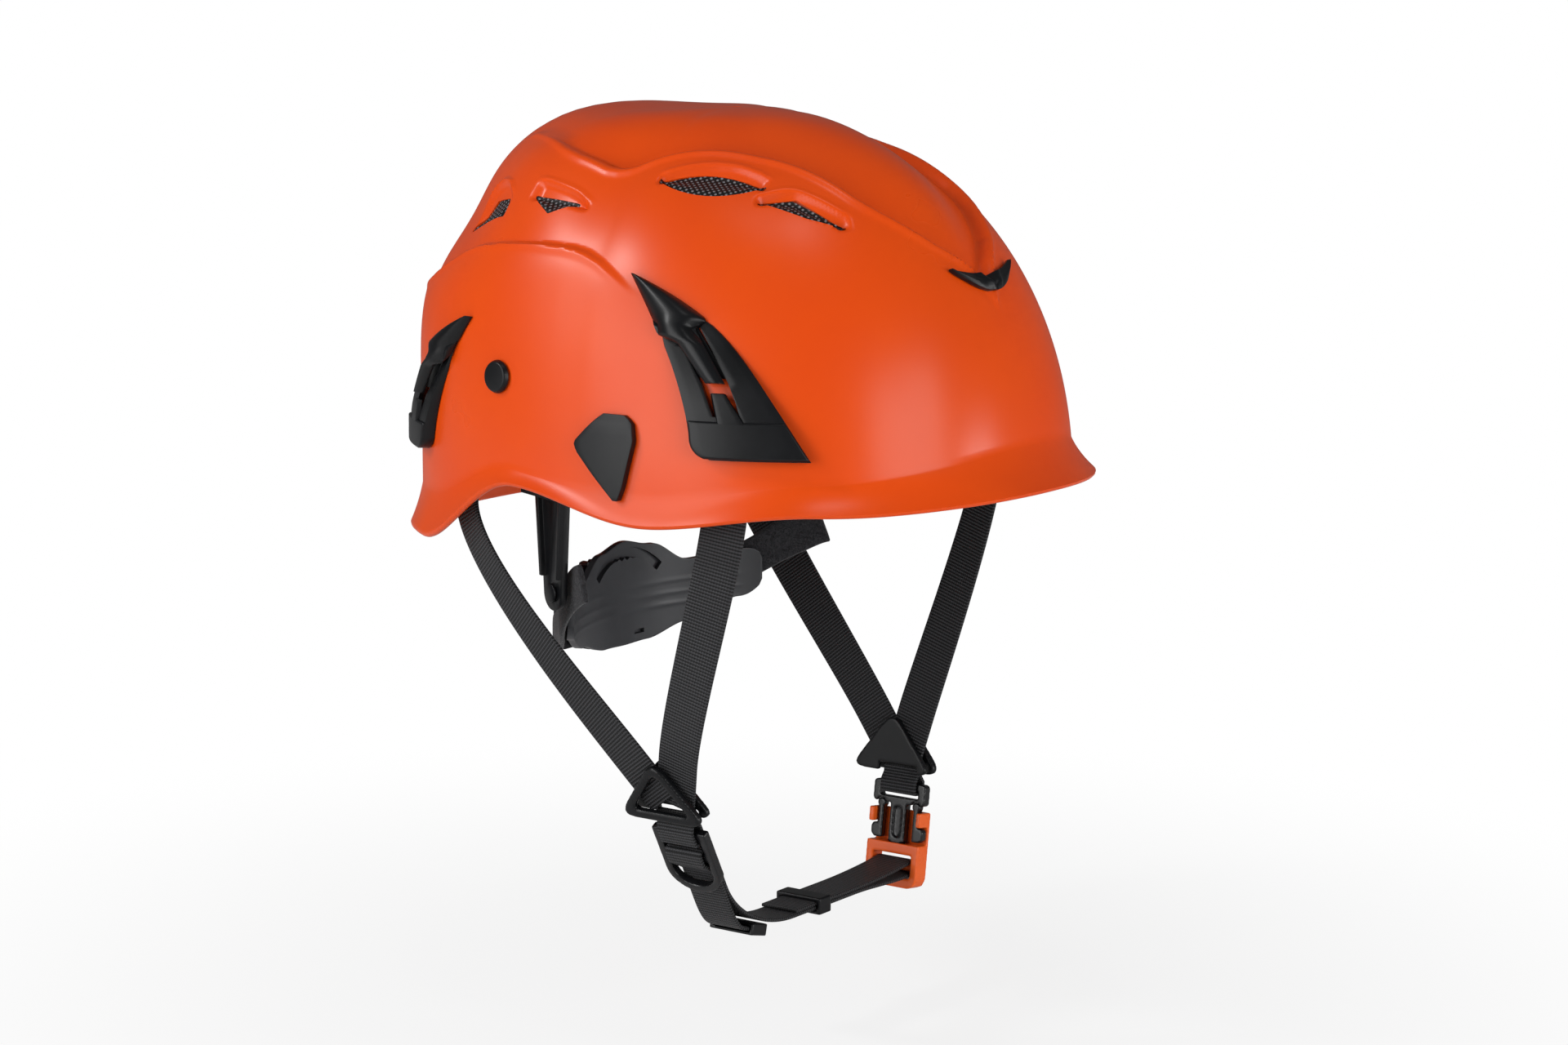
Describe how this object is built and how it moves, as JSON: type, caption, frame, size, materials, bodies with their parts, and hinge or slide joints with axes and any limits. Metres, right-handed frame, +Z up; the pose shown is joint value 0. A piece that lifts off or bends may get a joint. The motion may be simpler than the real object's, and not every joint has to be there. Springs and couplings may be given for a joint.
{
  "type": "climbing helmet",
  "caption": "Moulded climbing helmet with side vents, headlamp clips, a size-wheel nape headband and a webbing chin harness with a side release buckle.",
  "frame": {"origin": "middle of the plane on which the headband sits, level with the rim above the ears; the mount head_seat", "axes": "+Z up through the crown, -Y out of the helmet's front, +X to the wearer's left"},
  "size_m": [0.2172, 0.2783, 0.3209],
  "materials": {
    "shell_orange": "satin orange",
    "liner_foam": "fine grain",
    "pad_fabric": "knitted cover",
    "black_plastic": "satin",
    "mesh": "fine mesh",
    "felt": "felt lined",
    "webbing": "ribbed weave",
    "buckle_orange": "satin orange"
  },
  "bodies": {
    "helmet": {"outer_shell": "shell_orange", "inner_liner": "liner_foam", "crown_pad": "pad_fabric", "brow_pad": "pad_fabric", "vent_mesh_front_left": "mesh", "vent_mesh_front_right": "mesh", "vent_mesh_rear_left": "mesh", "vent_mesh_rear_right": "mesh", "front_trim": "black_plastic", "lamp_clip_front_left": "black_plastic", "lamp_clip_front_right": "black_plastic", "lamp_clip_rear_left": "black_plastic", "lamp_clip_rear_right": "black_plastic", "side_plug_left": "black_plastic", "side_plug_right": "black_plastic", "brow_band": "black_plastic", "arm_anchor_left": "black_plastic", "arm_anchor_right": "black_plastic", "strap_anchors": "black_plastic", "strap_rivets": "black_plastic", "divider_ring_left": "black_plastic", "divider_ring_right": "black_plastic", "divider_plate_left": "black_plastic", "divider_plate_right": "black_plastic", "strap_adjuster": "black_plastic", "end_stop": "black_plastic", "buckle_male": "black_plastic", "front_strap_left": "webbing", "front_strap_right": "webbing", "rear_strap_left": "webbing", "rear_strap_right": "webbing", "divider_loop_left": "webbing", "divider_loop_right": "webbing", "chin_strap": "webbing"},
    "nape": {"nape_cradle": "black_plastic", "nape_housing": "black_plastic", "height_arm_left": "black_plastic", "height_arm_right": "black_plastic", "arm_pin_left": "black_plastic", "arm_pin_right": "black_plastic", "side_band_left": "felt", "side_band_right": "felt"},
    "size_dial": {"dial": "black_plastic", "dial_gear": "black_plastic"},
    "left_rack": {"rack_left": "black_plastic"},
    "right_rack": {"rack_right": "black_plastic"},
    "female": {"buckle_female": "buckle_orange"},
    "front_latch": {"latch_front": "black_plastic"},
    "rear_latch": {"latch_rear": "black_plastic"},
    "left_cover": {"visor_cover_left": "black_plastic"},
    "right_cover": {"visor_cover_right": "black_plastic"},
    "keeper": {"strap_keeper": "black_plastic"}
  },
  "joints": [
    {"name": "nape_height", "type": "slide", "parent": "helmet", "child": "nape", "axis": [0, 0, 1], "range_m": [-0.006, 0.006]},
    {"name": "dial_turn", "type": "hinge", "parent": "nape", "child": "size_dial", "pos_m": [0, 0.0702, -0.059], "axis": [0, 1, 0], "range_deg": [-58, 58], "deforming": ["side_band_left", "side_band_right"]},
    {"name": "rack_left_slide", "type": "slide", "parent": "nape", "child": "left_rack", "axis": [1, 0, 0], "range_m": [-0.0078, 0.0078], "deforming": ["side_band_left"]},
    {"name": "rack_right_slide", "type": "slide", "parent": "nape", "child": "right_rack", "axis": [-1, 0, 0], "range_m": [-0.0078, 0.0078], "deforming": ["side_band_right"]},
    {"name": "buckle_release", "type": "slide", "parent": "helmet", "child": "female", "axis": [-0.1392, 0, -0.9903], "range_m": [0, 0.026], "deforming": ["chin_strap", "latch_front", "latch_rear"]},
    {"name": "latch_front_press", "type": "hinge", "parent": "helmet", "child": "front_latch", "pos_m": [0.07709, -0.0324, -0.14407], "axis": [0.9903, 0, -0.1392], "range_deg": [0, 12], "stiffness_Nm_per_rad": 0.02},
    {"name": "latch_rear_press", "type": "hinge", "parent": "helmet", "child": "rear_latch", "pos_m": [0.07709, -0.0156, -0.14407], "axis": [-0.9903, 0, 0.1392], "range_deg": [0, 12], "stiffness_Nm_per_rad": 0.02},
    {"name": "visor_cover_left_pull", "type": "slide", "parent": "helmet", "child": "left_cover", "axis": [0.9953, -0.0681, 0.0686], "range_m": [0, 0.01]},
    {"name": "visor_cover_right_pull", "type": "slide", "parent": "helmet", "child": "right_cover", "axis": [-0.9953, -0.0681, 0.0686], "range_m": [0, 0.01]},
    {"name": "keeper_slide", "type": "slide", "parent": "helmet", "child": "keeper", "axis": [1, 0, 0], "range_m": [-0.01, 0.01]}
  ],
  "couplings": [
    {"joint": "rack_left_slide", "follows": "dial_turn", "m_per_rad": 0.0075},
    {"joint": "rack_right_slide", "follows": "dial_turn", "m_per_rad": 0.0075},
    {"joint": "latch_rear_press", "follows": "latch_front_press", "ratio": 1}
  ]
}
